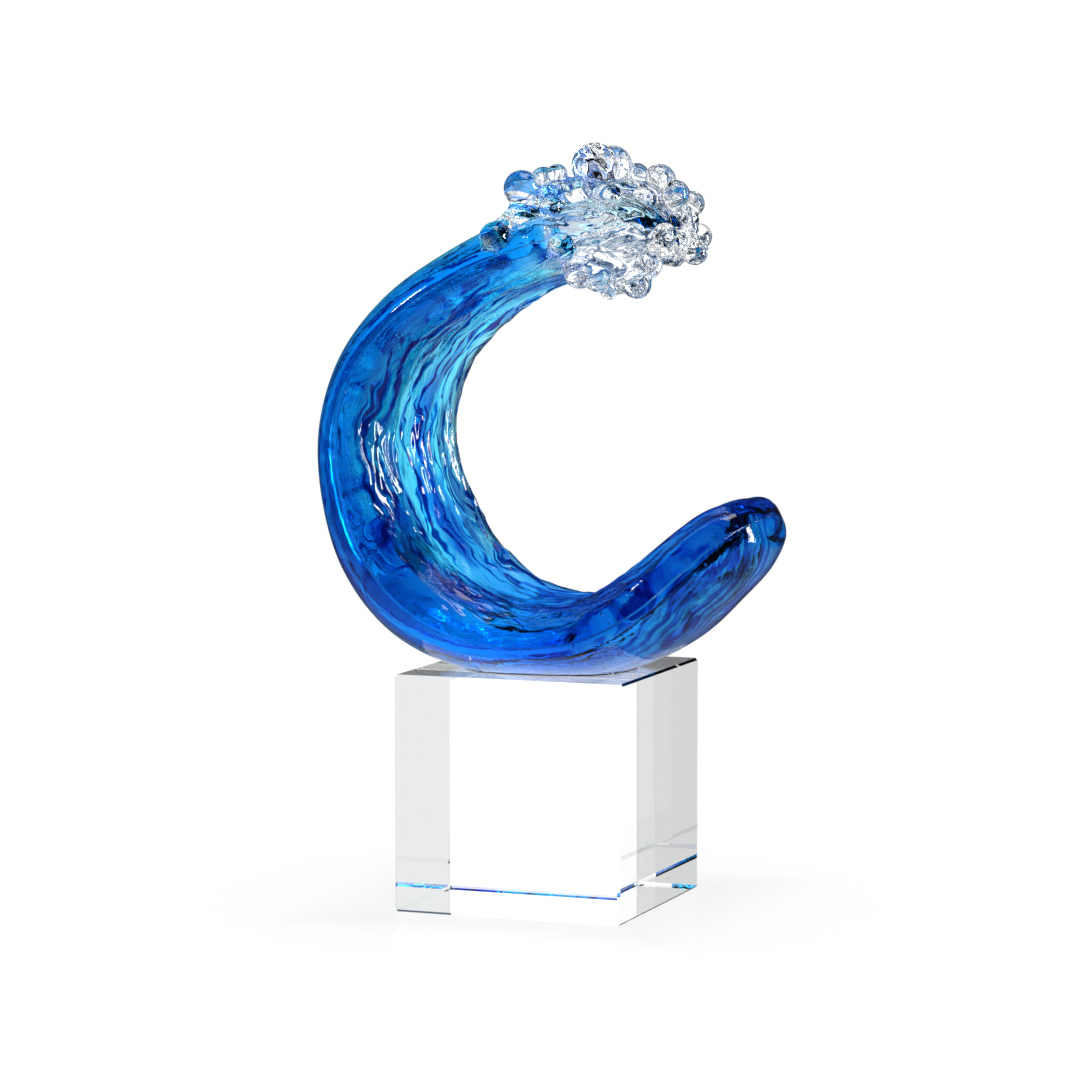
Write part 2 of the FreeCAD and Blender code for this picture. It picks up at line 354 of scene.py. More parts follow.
def wave_grid(settings):
    """Points of the wave's skin on a grid, with its flow, its places across and its stations."""
    t, s = even_stations(SKIN_RINGS)
    middle, outward, half_t, half_w = spine_frame(t)
    across, hollow = section_grid()
    power = np.where(hollow > 0, INNER_POWER, OUTER_POWER)
    out = (1 - np.abs(across) ** power) ** (1 / power) * np.where(hollow > 0, -1, 1)
    share = half_t / (THICKNESS / 2)
    height = half_t[:, None] * out[None]
    height += hollow[None] * (TROUGH * (1 - across**2) ** 2)[None] * share[:, None]
    width = half_w[:, None] * across[None]
    run = np.repeat(s[:, None], len(across), 1)
    edge = smooth_step(-0.985, -0.92, across) * smooth_step(0.97, 0.88, across)
    ends = smooth_step(6 * MM, 60 * MM, s) * smooth_step(s[-1] - 10 * MM, s[-1] - 60 * MM, s)
    flute = flute_height(across) * hollow
    height += FLUTE_DEPTH * flute[None] * share[:, None]
    ripples = ripple_height(run, width) * settings.ripple_height
    height -= ripples * (edge * hollow)[None] * ends[:, None]
    bead = np.exp(-(((across - BEAD_PLACE) / BEAD_WIDTH) ** 2)) * hollow
    height -= BEAD_HEIGHT * bead[None] * smooth_step(7.5, 9.5, t)[:, None] * ends[:, None]
    points = middle[:, None, :] + outward[:, None, :] * height[..., None]
    points[..., 1] += width
    folded = smooth_step(14.9, 15.8, t)[:, None] * (1 - hollow * 0.4)[None]
    fold_end(points, folded, settings.fold_height)
    points[..., 2] = np.maximum(points[..., 2], FOOT_HEIGHT + FOOT_CLEARANCE)
    flow = np.stack([run, width, np.repeat(hollow[None], SKIN_RINGS, 0)], -1)
    return points, flow, np.repeat(across[None], SKIN_RINGS, 0), np.repeat(t[:, None], len(across), 1)


def grid_mesh(name, points, attributes):
    """A closed tube of quads from rings of points, with capped ends and named vertex attributes."""
    rows, ring = points.shape[:2]
    first, last = points[0].mean(0), points[-1].mean(0)
    verts = np.concatenate([points.reshape(-1, 3), [first, last]])
    i, j = np.meshgrid(np.arange(rows - 1), np.arange(ring), indexing="ij")
    k = (j + 1) % ring
    quads = np.stack([i * ring + j, i * ring + k, (i + 1) * ring + k, (i + 1) * ring + j], -1)
    faces = quads.reshape(-1, 4).tolist()
    faces += [(rows * ring, (j + 1) % ring, j) for j in range(ring)]
    top = (rows - 1) * ring
    faces += [(rows * ring + 1, top + j, top + (j + 1) % ring) for j in range(ring)]
    mesh = bpy.data.meshes.new(name)
    mesh.from_pydata(verts.tolist(), [], faces)
    for key, values in attributes.items():
        flat = values.reshape(rows * ring, *values.shape[2:])
        flat = np.concatenate([flat, [flat[0], flat[-1]]])
        kind, field = ("FLOAT_VECTOR", "vector") if flat.ndim == 2 else ("FLOAT", "value")
        attribute = mesh.attributes.new(key, kind, "POINT")
        attribute.data.foreach_set(field, flat.astype(np.float32).ravel())
    mesh.shade_smooth()
    return mesh


def add_piece(name, mesh, material):
    """A new object for a mesh, riding on the sculpture's one body."""
    mesh.materials.clear()
    mesh.materials.append(material)
    piece = bpy.data.objects.new(name, mesh)
    bpy.context.scene.collection.objects.link(piece)
    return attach(piece, "root")


def glue_mesh():
    """The glue film with its underside just clear of the block, so that no two faces share a plane."""
    node = frame["nodes"]["glue_film"]
    mesh = node.data.copy()
    mesh.name = "glue_layer"
    mesh.transform(node.matrix_world)
    low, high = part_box("glue_film")
    for vertex in mesh.vertices:
        if vertex.co.z < (low[2] + high[2]) / 2:
            vertex.co.z += GLUE_CLEARANCE
    return mesh


# Geometry of the crest


def crest_root():
    """The place that the crest's arms are measured from."""
    return Vector(spine_frame(np.array([float(CREST_ROW)]))[0][0])


def arm_place(name, share):
    """Middle, run, side, up and radius of an arm at a share of its length."""
    rows = ARMS[name]
    t = share * (len(rows) - 1)
    x, y, z, radius = along(rows, np.array([t]))[0]
    step = (along(rows, np.array([t + 0.01])) - along(rows, np.array([t - 0.01])))[0]
    run = Vector((step[0] * REACH, step[1] * WIDTH, step[2] * THICKNESS)).normalized()
    side = Vector((0, 0, 1)).cross(run).normalized()
    middle = crest_root() + Vector((x * REACH, y * WIDTH, z * THICKNESS))
    ends = 1 - max(1 - min(share, 1 - share) / 0.28, 0) ** 2
    return middle, run, side, run.cross(side), radius * ARM_RADIUS * math.sqrt(max(ends, 0.04))


def drop_place(arm, share, degrees, lift, radius):
    """Middle, outward direction and radius of a drop on an arm."""
    middle, _run, side, up, arm_radius = arm_place(arm, share)
    angle = math.radians(degrees)
    way = up * math.cos(angle) + side * math.sin(angle)
    radius *= DROP_RADIUS
    return middle + way * (arm_radius + lift * radius), way, radius


def add_ball(bm, middle, radius, squash=(1, 1, 1), detail=4):
    """A ball in the mesh."""
    matrix = Matrix.Translation(middle) @ Matrix.Diagonal((*squash, 1))
    bmesh.ops.create_icosphere(bm, subdivisions=detail, radius=radius, matrix=matrix)


def add_curl(bm, middle, way, radius):
    """A rolled thread of glass that spirals up a drop to its top."""
    side = way.orthogonal().normalized()
    up = way.cross(side)
    for k in range(CURL_BALLS):
        turn = k / (CURL_BALLS - 1)
        tilt = math.radians(80) * (1 - turn)
        angle = 2 * math.pi * CURL_TURNS * turn
        spot = way * math.cos(tilt) + (side * math.cos(angle) + up * math.sin(angle)) * math.sin(tilt)
        add_ball(bm, middle + spot * radius * 0.94, radius * (0.26 - 0.08 * turn), detail=2)


def add_arm(bm, name):
    """An arm of the crest as a closed, slightly twisted tube."""
    rings = []
    for k in range(ARM_STEPS):
        share = (1 - math.cos(math.pi * k / (ARM_STEPS - 1))) / 2
        middle, _run, side, up, radius = arm_place(name, share)
        ring = []
        for j in range(ARM_POINTS):
            angle = 2 * math.pi * j / ARM_POINTS
            twist = angle + 3.5 * share
            swell = 1 + 0.10 * math.sin(3 * twist) + 0.05 * math.sin(5 * twist + 2)
            way = up * math.cos(angle) + side * math.sin(angle)
            ring.append(bm.verts.new(middle + way * radius * swell))
        rings.append(ring)
    for a, b in zip(rings, rings[1:]):
        for j in range(ARM_POINTS):
            k = (j + 1) % ARM_POINTS
            bm.faces.new((a[j], a[k], b[k], b[j]))
    bm.faces.new(list(reversed(rings[0])))
    bm.faces.new(rings[-1])
    bmesh.ops.recalc_face_normals(bm, faces=bm.faces)


def fused_mesh(mesh, voxel):
    """The mesh melted into one smooth skin, in the first one's place."""
    name = mesh.name
    piece = bpy.data.objects.new(name, mesh)
    bpy.context.scene.collection.objects.link(piece)
    remesh = piece.modifiers.new("fuse", "REMESH")
    remesh.mode = "VOXEL"
    remesh.voxel_size = voxel
    soften = piece.modifiers.new("soften", "SMOOTH")
    soften.factor = 0.5
    soften.iterations = 12
    graph = bpy.context.evaluated_depsgraph_get()
    fused = bpy.data.meshes.new_from_object(piece.evaluated_get(graph), depsgraph=graph)
    bpy.data.objects.remove(piece)
    bpy.data.meshes.remove(mesh)
    fused.name = name
    return fused


def crest_mesh(name, voxel, folds):
    """One arm of the crest with its drops, curls and folds, as one smooth skin."""
    bm = bmesh.new()
    add_arm(bm, name)
    for row in DROPS:
        if row[0] == name:
            middle, _way, radius = drop_place(*row)
            add_ball(bm, middle, radius)
    for curl in CURLED_DROPS:
        if DROPS[curl][0] == name:
            add_curl(bm, *drop_place(*DROPS[curl]))
    mesh = bpy.data.meshes.new("crest_" + name)
    bm.to_mesh(mesh)
    bm.free()
    fused = fused_mesh(mesh, voxel)
    count = len(fused.vertices)
    places, normals = np.empty(count * 3), np.empty(count * 3)
    fused.vertices.foreach_get("co", places)
    fused.vertices.foreach_get("normal", normals)
    places, normals = places.reshape(-1, 3), normals.reshape(-1, 3)
    places = places + normals * (fold_height(places) * off_drops(places) * folds)[:, None]
    fused.vertices.foreach_set("co", places.ravel())
    fused.shade_smooth()
    return fused


def tree_of(mesh):
    """A search tree over a mesh's faces."""
    verts = [tuple(v.co) for v in mesh.vertices]
    return BVHTree.FromPolygons(verts, [tuple(face.vertices) for face in mesh.polygons])


def clear_joins(mesh, trees, depth, low, high, material):
    """Give the faces that lie deeper than depth inside other glass a skin that bends no light."""
    sunk = set()
    for vertex in mesh.vertices:
        spot = vertex.co
        if all(low[k] < spot[k] < high[k] for k in range(3)):
            for tree in trees:
                place, normal, _index, _away = tree.find_nearest(spot)
                if place is not None and (spot - place).dot(normal) < -depth:
                    sunk.add(vertex.index)
                    break
    mesh.materials.append(material)
    for face in mesh.polygons:
        if sunk.issuperset(face.vertices):
            face.material_index = 1


# Materials


def node_group(name, inputs, outputs):
    """A new shader node group with named sockets, and its two end nodes."""
    group = bpy.data.node_groups.new(name, "ShaderNodeTree")
    for label, kind, value in inputs:
        socket = group.interface.new_socket(label, in_out="INPUT", socket_type=kind)
        if value is not None:
            socket.default_value = value
    for label, kind in outputs:
        group.interface.new_socket(label, in_out="OUTPUT", socket_type=kind)
    start = group.nodes.new("NodeGroupInput")
    end = group.nodes.new("NodeGroupOutput")
    return group, start, end


def math_node(tree, operation, *values):
    """A math node with its inputs set or linked."""
    node = tree.nodes.new("ShaderNodeMath")
    node.operation = operation
    for socket, value in zip(node.inputs, values):
        if isinstance(value, (int, float)):
            socket.default_value = value
        else:
            tree.links.new(value, socket)
    return node.outputs[0]


def times(tree, a, b):
    """One value times another."""
    return math_node(tree, "MULTIPLY", a, b)


def less(tree, a, b):
    """One value less another."""
    return math_node(tree, "SUBTRACT", a, b)


def split_axes(tree, vector):
    """The three parts of a vector."""
    node = tree.nodes.new("ShaderNodeSeparateXYZ")
    tree.links.new(vector, node.inputs[0])
    return node.outputs


def noise_texture(tree, vector, scale, **settings):
    """A noise texture over a vector, with its other sockets set by name."""
    node = tree.nodes.new("ShaderNodeTexNoise")
    node.inputs["Scale"].default_value = scale
    for label, value in settings.items():
        node.inputs[label].default_value = value
    tree.links.new(vector, node.inputs["Vector"])
    return node.outputs["Fac"]


def map_range(tree, value, low, high, to_low=0.0, to_high=1.0):
    """A smooth map range node."""
    node = tree.nodes.new("ShaderNodeMapRange")
    node.interpolation_type = "SMOOTHSTEP"
    tree.links.new(value, node.inputs["Value"])
    node.inputs["From Min"].default_value = low
    node.inputs["From Max"].default_value = high
    node.inputs["To Min"].default_value = to_low
    node.inputs["To Max"].default_value = to_high
    return node.outputs["Result"]


def mix_colour(tree, factor, a, b, blend="MIX"):
    """A colour mix node."""
    node = tree.nodes.new("ShaderNodeMix")
    node.data_type = "RGBA"
    node.blend_type = blend
    for socket, value in ((node.inputs["Factor"], factor), (node.inputs[6], a), (node.inputs[7], b)):
        if isinstance(value, (int, float)):
            socket.default_value = value
        elif isinstance(value, tuple):
            socket.default_value = (*value, 1)
        else:
            tree.links.new(value, socket)
    return node.outputs[2]


def colour_ramp(tree, value, stops):
    """A colour ramp with its stops."""
    node = tree.nodes.new("ShaderNodeValToRGB")
    ramp = node.color_ramp
    while len(ramp.elements) > 1:
        ramp.elements.remove(ramp.elements[-1])
    for index, (place, colour) in enumerate(stops):
        element = ramp.elements[0] if index == 0 else ramp.elements.new(place)
        element.position = place
        element.color = (*colour, 1)
    tree.links.new(value, node.inputs["Fac"])
    return node.outputs["Color"]


def streak_group():
    """Streaks and broader clouds that run with the glass's flow, as two masks."""
    group, start, end = node_group(
        "Glass streaks",
        [("Flow", "NodeSocketVector", None), ("Length", "NodeSocketFloat", 30.0),
         ("Fineness", "NodeSocketFloat", 260.0), ("Warp", "NodeSocketFloat", 0.6)],
        [("Streaks", "NodeSocketFloat"), ("Clouds", "NodeSocketFloat")],
    )
    run, side, hollow = split_axes(group, start.outputs["Flow"])
    warp = noise_texture(group, start.outputs["Flow"], 38, Detail=2)
    shift = times(group, less(group, warp, 0.5), start.outputs["Warp"])
    across = times(group, side, start.outputs["Fineness"])
    join = group.nodes.new("ShaderNodeCombineXYZ")
    group.links.new(times(group, run, start.outputs["Length"]), join.inputs[0])
    group.links.new(math_node(group, "ADD", across, times(group, shift, 10)), join.inputs[1])
    group.links.new(times(group, hollow, 7.0), join.inputs[2])
    threads = noise_texture(group, join.outputs[0], 1, Detail=3, Roughness=0.55)
    clouds = noise_texture(group, join.outputs[0], 0.28, Detail=1)
    group.links.new(threads, end.inputs["Streaks"])
    group.links.new(clouds, end.inputs["Clouds"])
    return group


def place_streaks(tree, flow, length, fineness, warp):
    """The streaks' node, with its flow linked and its sizes set."""
    node = tree.nodes.new("ShaderNodeGroup")
    node.node_tree = bpy.data.node_groups.get("Glass streaks") or streak_group()
    for label, value in (("Length", length), ("Fineness", fineness), ("Warp", warp)):
        node.inputs[label].default_value = value
    tree.links.new(flow, node.inputs["Flow"])
    return node.outputs


def new_material(name):
    """An empty material, its node tree and the output node."""
    material = bpy.data.materials.new(name)
    material.use_nodes = True
    material.node_tree.nodes.clear()
    return material, material.node_tree, material.node_tree.nodes.new("ShaderNodeOutputMaterial")


def mix_shaders(tree, factor, a, b):
    """A mix of two shaders."""
    node = tree.nodes.new("ShaderNodeMixShader")
    for socket, value in zip(node.inputs, (factor, a, b)):
        tree.links.new(value, socket)
    return node.outputs[0]


def glass(name, ior=1.5, tint=(1, 1, 1), shadow=(0.85, 0.93, 1.0), absorb=None, density=0.0):
    """A glass material that lets lamps through, with an absorbing body if it has a density."""
    material, tree, output = new_material(name)
    shader = tree.nodes.new("ShaderNodeBsdfPrincipled")
    shader.inputs["Base Color"].default_value = (*tint, 1)
    shader.inputs["Metallic"].default_value = 0
    shader.inputs["Roughness"].default_value = 0
    shader.inputs["IOR"].default_value = ior
    shader.inputs["Transmission Weight"].default_value = 1
    clear = tree.nodes.new("ShaderNodeBsdfTransparent")
    clear.inputs["Color"].default_value = (*shadow, 1)
    path = tree.nodes.new("ShaderNodeLightPath")
    mix = mix_shaders(tree, path.outputs["Is Shadow Ray"], shader.outputs[0], clear.outputs[0])
    tree.links.new(mix, output.inputs["Surface"])
    if density:
        volume = tree.nodes.new("ShaderNodeVolumeAbsorption")
        volume.inputs["Color"].default_value = (*absorb, 1)
        volume.inputs["Density"].default_value = density
        tree.links.new(volume.outputs[0], output.inputs["Volume"])
    return material, tree, shader


def attribute(tree, name, kind="Vector"):
    """A vertex attribute of the mesh."""
    node = tree.nodes.new("ShaderNodeAttribute")
    node.attribute_name = name
    return node.outputs[kind]


def bump(tree, height, distance, strength):
    """A bump node over a height."""
    node = tree.nodes.new("ShaderNodeBump")
    node.inputs["Strength"].default_value = strength
    node.inputs["Distance"].default_value = distance
    tree.links.new(height, node.inputs["Height"])
    return node.outputs["Normal"]


def hollow_colour(tree, flow, across, station, streaks):
    """Threads of cyan and navy down the hollow face, in bands from the near edge to the far one."""
    threads = colour_ramp(tree, streaks["Streaks"], [
        (0.41, (0.0, 0.005, 0.12)), (0.44, (0.0, 0.10, 0.66)), (0.465, (0.10, 0.62, 1.0)),
        (0.50, (0.80, 0.97, 1.0))])
    drift = times(tree, less(tree, streaks["Clouds"], 0.5), 0.5)
    place = math_node(tree, "ADD", times(tree, math_node(tree, "ADD", across, drift), 0.5), 0.5)
    bands = colour_ramp(tree, place, [
        (0.00, (0.10, 0.30, 0.80)), (0.06, (0.80, 0.95, 1.0)), (0.30, (1.0, 1.0, 1.0)),
        (0.38, (0.02, 0.12, 0.52)), (0.50, (0.01, 0.06, 0.34)), (0.55, (0.45, 0.85, 1.0)),
        (0.65, (0.60, 0.92, 1.0)), (0.69, (0.02, 0.06, 0.20)), (0.73, (0.30, 0.40, 0.55)),
        (0.78, (0.60, 0.62, 0.66)), (0.81, (0.01, 0.02, 0.05)), (0.86, (0.45, 0.44, 0.45)),
        (0.90, (0.02, 0.02, 0.04)), (0.95, (0.50, 0.48, 0.47))])
    bottom = map_range(tree, station, 8.6, 7.2)
    bands = mix_colour(tree, bottom, bands, (0.22, 0.42, 0.80))
    upper = times(tree, map_range(tree, station, 12.0, 13.2), map_range(tree, station, 15.4, 14.2))
    bands = mix_colour(tree, times(tree, upper, 0.75), bands, (1.0, 1.0, 1.0))
    colour = mix_colour(tree, 1.0, threads, bands, "MULTIPLY")
    pool = colour_ramp(tree, place_streaks(tree, flow, 60.0, 420.0, 0.8)["Clouds"], [
        (0.39, (0.02, 0.12, 0.55)), (0.42, (0.08, 0.40, 0.90)), (0.445, (1.0, 1.0, 1.0))])
    return mix_colour(tree, 0.9, colour, pool, "MULTIPLY")


def flank_colour(tree, flow, across, station, streaks, outer, tail):
    """Deep blue for the flanks and the back, with pale threads under the tail."""
    colour = colour_ramp(tree, place_streaks(tree, flow, 26.0, 300.0, 1.2)["Streaks"], [
        (0.34, (0.0, 0.02, 0.18)), (0.44, (0.00, 0.07, 0.42)), (0.54, (0.01, 0.12, 0.57)),
        (0.66, (0.03, 0.30, 0.85))])
    top = map_range(tree, station, 11.8, 13.4)
    colour = mix_colour(tree, times(tree, top, 0.6), colour, (0.01, 0.30, 1.0))
    back = times(tree, map_range(tree, across, -0.90, -0.60), outer)
    colour = mix_colour(tree, back, colour, mix_colour(tree, 0.85, colour, (0.45, 0.88, 1.0), "SCREEN"))
    calm = times(tree, map_range(tree, station, 4.8, 5.6), map_range(tree, station, 8.4, 7.0))
    colour = mix_colour(tree, times(tree, calm, 0.85), colour, (0.0, 0.30, 1.0))
    pale = colour_ramp(tree, streaks["Streaks"], [
        (0.36, (0.0, 0.02, 0.25)), (0.47, (0.03, 0.16, 0.62)), (0.52, (0.75, 0.80, 1.0)),
        (0.58, (1.0, 1.0, 1.0))])
    return mix_colour(tree, tail, colour, pale)


def wave_material():
    """Cased glass: deep blue flanks, bright threads down the hollow, and clear at the crest."""
    material, tree, shader = glass("wave_glass", shadow=(0.4, 0.75, 1.0))
    flow = attribute(tree, "flow")
    across = attribute(tree, "across", "Fac")
    station = attribute(tree, "station", "Fac")
    hollow = split_axes(tree, flow)[2]
    outer = less(tree, 1.0, hollow)
    tail = map_range(tree, station, 5.6, 3.6)
    streaks = place_streaks(tree, flow, 22.0, 330.0, 0.8)
    face = times(tree, map_range(tree, across, -1.0, -0.95), hollow)
    colour = mix_colour(tree, face, flank_colour(tree, flow, across, station, streaks, outer, tail),
                        hollow_colour(tree, flow, across, station, streaks))
    # the tail darkens, apart from the pale threads under it
    deep = mix_colour(tree, map_range(tree, station, 6.4, 4.6), (1, 1, 1), (0.15, 0.24, 0.54))
    pale_share = times(tree, times(tree, tail, 0.6), outer)
    colour = mix_colour(tree, less(tree, 1.0, pale_share), colour, deep, "MULTIPLY")
    # the crest's end takes the foam's colour, with its painted shade lines and its painted body blue
    clear = map_range(tree, station, 15.7, 16.9)
    foam, swirl = foam_pattern(tree)
    tree.links.new(mix_colour(tree, clear, colour, foam), shader.inputs["Base Color"])
    fine = times(tree, less(tree, 1.0, clear), times(tree, streaks["Streaks"], 0.15))
    height = math_node(tree, "ADD", fine, times(tree, clear, swirl))
    tree.links.new(bump(tree, height, BUMP_DISTANCE, BUMP_STRENGTH), shader.inputs["Normal"])
    return material


def foam_material():
    """Clear glass of the crest, with swirling dark lines of a hot gather deepened by painted shade, and
    blue veins near the wave that carry a painted blue of the body seen through the glass.
    """
    material, tree, shader = glass("foam_glass", shadow=(0.92, 0.96, 1.0))
    colour, swirl = foam_pattern(tree)
    tree.links.new(colour, shader.inputs["Base Color"])
    tree.links.new(bump(tree, swirl, BUMP_DISTANCE, BUMP_STRENGTH), shader.inputs["Normal"])
    return material


def foam_pattern(tree):
    """Colour and height of clear glass with swirling dark lines, partly flow lines and partly painted
    shade, and blue veins towards the wave, partly blue glass and partly the body's blue painted in as
    seen through it.
    """
    coords = tree.nodes.new("ShaderNodeTexCoord")
    swirl = swirl_noise(tree, coords.outputs["Object"], (44, 70, 70), 2.8, 0.8)
    # painted shade: dark lines at set heights of the swirled relief stand for the dark that the clear
    # folds bend in, over faint flow lines of the glass
    lines_and_painted_shade = colour_ramp(tree, swirl, [
        (0.405, (0.96, 0.97, 0.97)), (0.430, (0.05, 0.08, 0.15)), (0.450, (0.12, 0.20, 0.32)),
        (0.468, (0.96, 0.97, 0.97)), (0.560, (0.96, 0.97, 0.97)), (0.580, (0.20, 0.24, 0.27)),
        (0.598, (0.96, 0.97, 0.97))])
    # painted blue of the body seen through the clear glass: these veins, partly blue threads of the
    # glass, show only near the wave
    vein = swirl_noise(tree, coords.outputs["Object"], (26, 70, 70), 1.6, 1.0)
    near = map_range(tree, split_axes(tree, coords.outputs["Object"])[0], 34 * MM, 10 * MM)
    veins_and_painted_body_blue = times(tree, map_range(tree, vein, 0.505, 0.545), near)
    return mix_colour(tree, times(tree, veins_and_painted_body_blue, 0.97), lines_and_painted_shade, (0.0, 0.17, 0.72)), swirl


def swirl_noise(tree, coords, scale, distortion, detail):
    """A noise that swirls, stretched by its scale along each axis."""
    mapping = tree.nodes.new("ShaderNodeMapping")
    mapping.inputs["Rotation"].default_value = (0.3, 0.2, 0.7)
    mapping.inputs["Scale"].default_value = scale
    tree.links.new(coords, mapping.inputs["Vector"])
    return noise_texture(tree, mapping.outputs[0], 1, Detail=detail, Distortion=distortion)


# Stage


def add_camera():
    """The camera at the photograph's angle."""
    data = bpy.data.cameras.new("camera")
    data.sensor_width = 36
    data.lens = CAMERA_LENS
    camera = bpy.data.objects.new("camera", data)
    camera.location = CAMERA_PLACE
    camera.rotation_euler = (CAMERA_TILT, 0, CAMERA_TURN)
    bpy.context.scene.collection.objects.link(camera)
    bpy.context.scene.camera = camera


def add_floor(settings):
    """A round white floor that fades into the white background."""
    bm = bmesh.new()
    bmesh.ops.create_circle(bm, cap_ends=True, segments=96, radius=FLOOR_RADIUS)
    mesh = bpy.data.meshes.new("floor")
    bm.to_mesh(mesh)
    bm.free()
    floor = bpy.data.objects.new("floor", mesh)
    floor.location = (0, 0, -FLOOR_GAP)
    bpy.context.scene.collection.objects.link(floor)
    material, tree, output = new_material("white_floor")
    mesh.materials.append(material)
    shader = tree.nodes.new("ShaderNodeBsdfPrincipled")
    shader.inputs["Base Color"].default_value = (*settings.floor_colour, 1)
    shader.inputs["Roughness"].default_value = 0.12
    glow = tree.nodes.new("ShaderNodeEmission")
    glow.inputs["Color"].default_value = (1, 1, 1, 1)
    path = tree.nodes.new("ShaderNodeLightPath")
    coords = tree.nodes.new("ShaderNodeTexCoord")
    length = tree.nodes.new("ShaderNodeVectorMath")
    length.operation = "LENGTH"
    tree.links.new(coords.outputs["Object"], length.inputs[0])
    # near the block the floor shows its shadow and its faint reflection, and its glow is a painted
    # shade darker there
    fade = map_range(tree, length.outputs["Value"], 0.06, 0.14, 0.92, 1.0)
    # painted shadow: the floor's glow dims in a band round the block's edges
    x, y, _z = split_axes(tree, coords.outputs["Object"])
    out = math_node(tree, "MAXIMUM", math_node(tree, "ABSOLUTE", x), math_node(tree, "ABSOLUTE", y))
    tree.links.new(map_range(tree, out, 0.04, 0.085, 0.92, 1.0), glow.inputs["Strength"])
    seen = times(tree, path.outputs["Is Camera Ray"], fade)
    mix = mix_shaders(tree, seen, shader.outputs[0], glow.outputs[0])
    # the glass shows and mirrors the room, not the floor
    clear = tree.nodes.new("ShaderNodeBsdfTransparent")
    through = math_node(tree, "MAXIMUM", path.outputs["Is Transmission Ray"],
                        path.outputs["Is Glossy Ray"])
    tree.links.new(mix_shaders(tree, through, mix, clear.outputs[0]), output.inputs["Surface"])


def add_world():
    """A white room with dim cards behind the glass, and a dark one for what the glass mirrors."""
    world = bpy.data.worlds.new("studio")
    bpy.context.scene.world = world
    world.use_nodes = True
    tree = world.node_tree
    tree.nodes.clear()
    output = tree.nodes.new("ShaderNodeOutputWorld")
    room = tree.nodes.new("ShaderNodeBackground")
    coords = tree.nodes.new("ShaderNodeTexCoord")
    x, y, height = split_axes(tree, coords.outputs["Generated"])
    angle = math_node(tree, "ARCTAN2", y, x)
    turn = math_node(tree, "COSINE", times(tree, less(tree, angle, CARD_BEARING), CARDS))
    # pale cards at the block's height, dark and narrower ones over them, and white overhead
    low = mix_colour(tree, map_range(tree, turn, 0.1, 0.85), (1.25, 1.25, 1.25), (0.86, 0.86, 0.86))
    high = mix_colour(tree, map_range(tree, turn, 0.4, 0.9), (1.25, 1.25, 1.23), (0.06, 0.10, 0.15))
    high = mix_colour(tree, map_range(tree, height, 0.48, 0.58), high, (1.35, 1.36, 1.33))
    bent = mix_colour(tree, map_range(tree, height, 0.2, 0.34), low, high)
    below = map_range(tree, height, -0.45, -0.15)
    mirrored = mix_colour(tree, below, (0.22, 0.22, 0.22), (0.02, 0.025, 0.03))
    path = tree.nodes.new("ShaderNodeLightPath")
    colour = mix_colour(tree, path.outputs["Is Glossy Ray"], (0.6, 0.6, 0.6), mirrored)
    colour = mix_colour(tree, path.outputs["Is Transmission Ray"], colour, bent)
    colour = mix_colour(tree, path.outputs["Is Camera Ray"], colour, (1, 1, 1))
    tree.links.new(colour, room.inputs["Color"])
    tree.links.new(room.outputs[0], output.inputs["Surface"])


def add_lamps(settings):
    """Softboxes that leave highlights on the glass."""
    for name, place, size, share in LAMPS:
        data = bpy.data.lights.new(name, "AREA")
        data.shape = "RECTANGLE"
        data.size, data.size_y = size
        data.energy = settings.lamp_power * share
        lamp = bpy.data.objects.new(name, data)
        lamp.location = place
        lamp.rotation_euler = (LAMP_AIM - Vector(place)).to_track_quat("-Z", "Y").to_euler()
        bpy.context.scene.collection.objects.link(lamp)


# Settings, operators and panel


class WaveSettings(bpy.types.PropertyGroup):
    """Sizes and colours of the wave and its crest."""

    ripple_height: bpy.props.FloatProperty(
        name="Ripple height", description="Height of the ripples down the hollow face",
        default=1.2 * MM, min=0, max=3 * MM, unit="LENGTH", precision=5)
    fold_height: bpy.props.FloatProperty(
        name="Fold height", description="Height of the folds in the crest's clear glass",
        default=1.0 * MM, min=0, max=3 * MM, unit="LENGTH", precision=5)
    core_blue: bpy.props.FloatProperty(
        name="Blue of the core", description="How strongly the core absorbs red light, per metre",
        default=58.0, min=0, max=300)
    bubbles: bpy.props.IntProperty(
        name="Bubbles", description="Number of seed bubbles in the wave", default=110, min=1, max=400)
    fusing: bpy.props.FloatProperty(
        name="Fusing", description="Size of detail that melts away where the crest's drops meet",
        default=0.5 * MM, min=0.3 * MM, max=2 * MM, unit="LENGTH", precision=5)


class StageSettings(bpy.types.PropertyGroup):
    """The light and the floor."""

    lamp_power: bpy.props.FloatProperty(
        name="Lamp power", description="Power that each softbox takes its share of", default=14.0,
        min=0, unit="POWER")
    bounces: bpy.props.IntProperty(
        name="Bounces", description="How often a ray of light may turn inside the glass",
        default=28, min=8, max=64)
    floor_colour: bpy.props.FloatVectorProperty(
        name="Floor", description="Colour of the floor", subtype="COLOR", size=3,
        default=(0.9, 0.9, 0.9), min=0, max=1)


class GLASSWAVE_OT_wave(bpy.types.Operator):
    """Build the wave's rippled skin of cased glass"""

    bl_idname = "glasswave.wave"
    bl_label = "Wave"

    def execute(self, context):
        settings = context.scene.glass_wave
        points, flow, across, station = wave_grid(settings)
        mesh = grid_mesh("wave_skin", points, {"flow": flow, "across": across, "station": station})
        piece = add_piece("wave_skin", mesh, wave_material())
        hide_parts("wave_casing")
        return {"FINISHED"}


